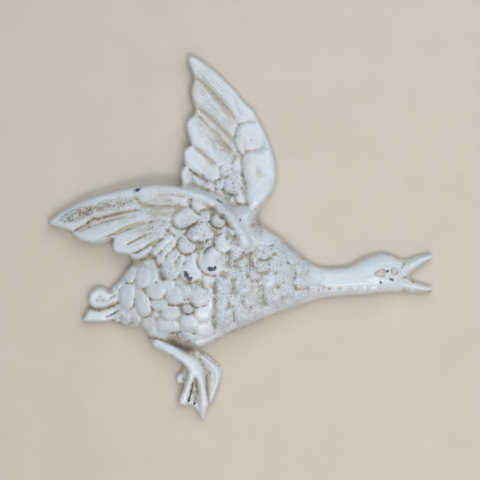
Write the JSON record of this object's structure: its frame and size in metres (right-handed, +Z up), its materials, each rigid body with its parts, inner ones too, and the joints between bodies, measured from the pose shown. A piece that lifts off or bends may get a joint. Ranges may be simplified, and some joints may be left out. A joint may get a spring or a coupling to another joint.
{
  "type": "goose wall plaque",
  "caption": "One-piece cast-metal relief of a goose in flight with open bill, hollow-backed, with a screwed-on swinging D-ring hanger and rubber wall bumpers.",
  "frame": {"origin": "on the wall plane, straight behind the point where the nail bears in the hanger ring", "axes": "+X towards the bill along the wall, +Z up as the plaque hangs, +Y into the wall; the relief faces -Y"},
  "size_m": [0.1785, 0.0209, 0.1685],
  "materials": {
    "enamel": "cream-white enamel with a tan antique wash, satin",
    "plated_steel": "zinc plated, dulled",
    "screw_brass": "brass plated, dulled",
    "bumper_rubber": "matte"
  },
  "bodies": {
    "plaque": {"casting": "enamel", "hanger_strap": "plated_steel", "upper_hanger_screw": "screw_brass", "lower_hanger_screw": "screw_brass", "near_wing_bumper": "bumper_rubber", "far_wing_bumper": "bumper_rubber", "neck_bumper": "bumper_rubber"},
    "ring": {"hanger_ring": "plated_steel"}
  },
  "joints": [
    {"name": "ring_swing", "type": "hinge", "parent": "plaque", "child": "ring", "pos_m": [0, -0.005, -0.009], "axis": [1, 0, 0], "range_deg": [-175, 50]}
  ]
}
